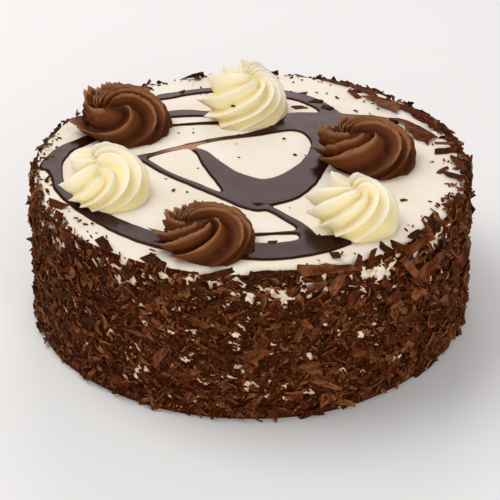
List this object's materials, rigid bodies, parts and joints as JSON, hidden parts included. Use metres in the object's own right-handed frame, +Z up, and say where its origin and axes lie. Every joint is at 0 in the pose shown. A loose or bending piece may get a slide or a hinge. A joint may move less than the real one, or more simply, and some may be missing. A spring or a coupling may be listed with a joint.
{
  "type": "marble cake",
  "caption": "Round iced layer cake with chocolate shavings on its side, drizzled ganache and piped rosettes on top.",
  "frame": {"origin": "centre of the flat foot that the cake stands on", "axes": "+Z up through the cake; the pictured front faces -Y, with +X to the viewer's right; the rosettes open towards -X"},
  "size_m": [0.2156, 0.2158, 0.0965],
  "materials": {
    "icing": "off-white buttercream, spread smooth, with a soft sheen",
    "shavings": "milk and dark chocolate shavings, dull on cut edges, slightly satin on flat faces",
    "ganache": "dark chocolate ganache, smooth and glossy",
    "chocolate_cream": "piped chocolate buttercream, satin, with fine ragged ridge edges",
    "vanilla_cream": "piped pale yellow buttercream, satin, paler on the ridges"
  },
  "bodies": {
    "root": {"cake": "icing", "rosette_chocolate_back_left": "chocolate_cream", "rosette_vanilla_left": "vanilla_cream", "rosette_chocolate_front": "chocolate_cream", "rosette_vanilla_back": "vanilla_cream", "rosette_chocolate_right": "chocolate_cream", "rosette_vanilla_front_right": "vanilla_cream"}
  },
  "joints": []
}
